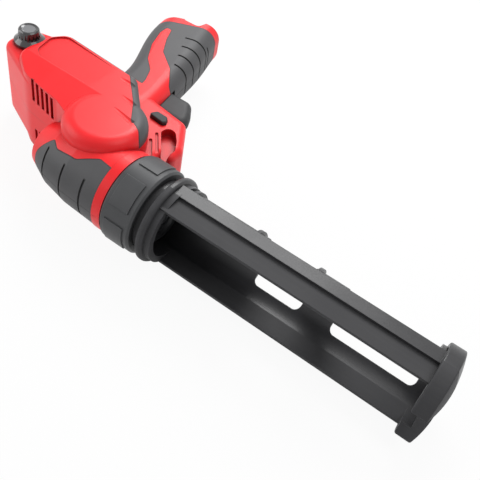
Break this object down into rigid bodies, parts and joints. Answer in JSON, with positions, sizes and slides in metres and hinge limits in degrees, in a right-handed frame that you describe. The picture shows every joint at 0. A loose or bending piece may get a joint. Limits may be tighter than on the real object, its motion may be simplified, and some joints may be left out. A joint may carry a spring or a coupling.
{
  "type": "cordless caulking tool",
  "caption": "Pistol-grip cordless caulking tool, bare of its battery, with an open trough carriage, a twist locking collar, a chain-driven plunger, a trigger and a speed dial.",
  "frame": {"origin": "on the barrel axis, where the locking collar meets the red neck", "axes": "+X forward along the barrel axis, +Y from the barrel to the foot of the handle, +Z to the tool's left side, which is up as the tool lies on its right side"},
  "size_m": [0.4338, 0.2431, 0.086],
  "materials": {
    "case": "moulded satin red nylon",
    "grip": "overmoulded matt elastomer",
    "collar": "fine moulded texture",
    "carriage": "satin dark grey",
    "dark_plastic": "plain moulded",
    "plunger": "satin black",
    "steel": "oiled steel",
    "bronze": "plain",
    "die_cast": "as cast",
    "motor_can": "plated can",
    "board": "coated board",
    "dial": "polished black",
    "trigger": "satin"
  },
  "bodies": {
    "housing": {"housing_left": "case", "housing_right": "case", "front_grip_left": "grip", "front_grip_right": "grip", "handle_grip_left": "grip", "handle_grip_right": "grip", "bumper_strip_left": "grip", "bumper_strip_right": "grip", "barrel_mount": "dark_plastic", "push_chain": "steel", "chain_guide": "dark_plastic", "shaft_bushes": "bronze", "gearbox": "die_cast", "motor": "motor_can", "control_board": "board", "speed_control": "dark_plastic", "trigger_switch": "dark_plastic", "trigger_spring": "steel", "terminal_block": "dark_plastic", "battery_contacts": "bronze", "case_screws": "steel"},
    "collar": {"locking_collar": "collar"},
    "carriage": {"carriage_frame": "carriage"},
    "plunger": {"plunger_plate": "plunger", "chain_head": "steel", "plunger_screw": "steel"},
    "drive": {"chain_wheel": "steel", "cross_shaft": "steel", "final_gear": "steel"},
    "pinion": {"drive_pinion": "steel"},
    "trigger": {"trigger": "trigger"},
    "lock_button": {"lock_button": "trigger"},
    "dial": {"speed_dial": "dial"}
  },
  "joints": [
    {"name": "collar_turn", "type": "hinge", "parent": "housing", "child": "collar", "pos_m": [0, 0, 0], "axis": [1, 0, 0], "range_deg": [0, 60]},
    {"name": "carriage_turn", "type": "hinge", "parent": "housing", "child": "carriage", "pos_m": [0, 0, 0], "axis": [1, 0, 0], "continuous": true},
    {"name": "plunger_slide", "type": "slide", "parent": "housing", "child": "plunger", "axis": [1, 0, 0], "range_m": [0, 0.1885], "deforming": ["push_chain"]},
    {"name": "drive_turn", "type": "hinge", "parent": "housing", "child": "drive", "pos_m": [-0.0425, 0.02, 0], "axis": [0, 0, 1], "range_deg": [0, 560]},
    {"name": "pinion_turn", "type": "hinge", "parent": "housing", "child": "pinion", "pos_m": [-0.0689, 0.0398, 0], "axis": [0, 0, 1], "range_deg": [-2080, 0]},
    {"name": "trigger_pull", "type": "slide", "parent": "housing", "child": "trigger", "axis": [-1, 0, 0], "range_m": [0, 0.007], "stiffness_N_per_m": 700, "springref_m": -0.004, "deforming": ["trigger_spring"]},
    {"name": "lock_slide", "type": "slide", "parent": "housing", "child": "lock_button", "axis": [0, 0, -1], "range_m": [0, 0.0035]},
    {"name": "dial_turn", "type": "hinge", "parent": "housing", "child": "dial", "pos_m": [-0.152, 0.051, 0], "axis": [0, 0, 1], "range_deg": [-140, 140]}
  ],
  "couplings": [
    {"joint": "drive_turn", "follows": "plunger_slide", "rad_per_m": 50},
    {"joint": "pinion_turn", "follows": "plunger_slide", "rad_per_m": -185.71}
  ]
}
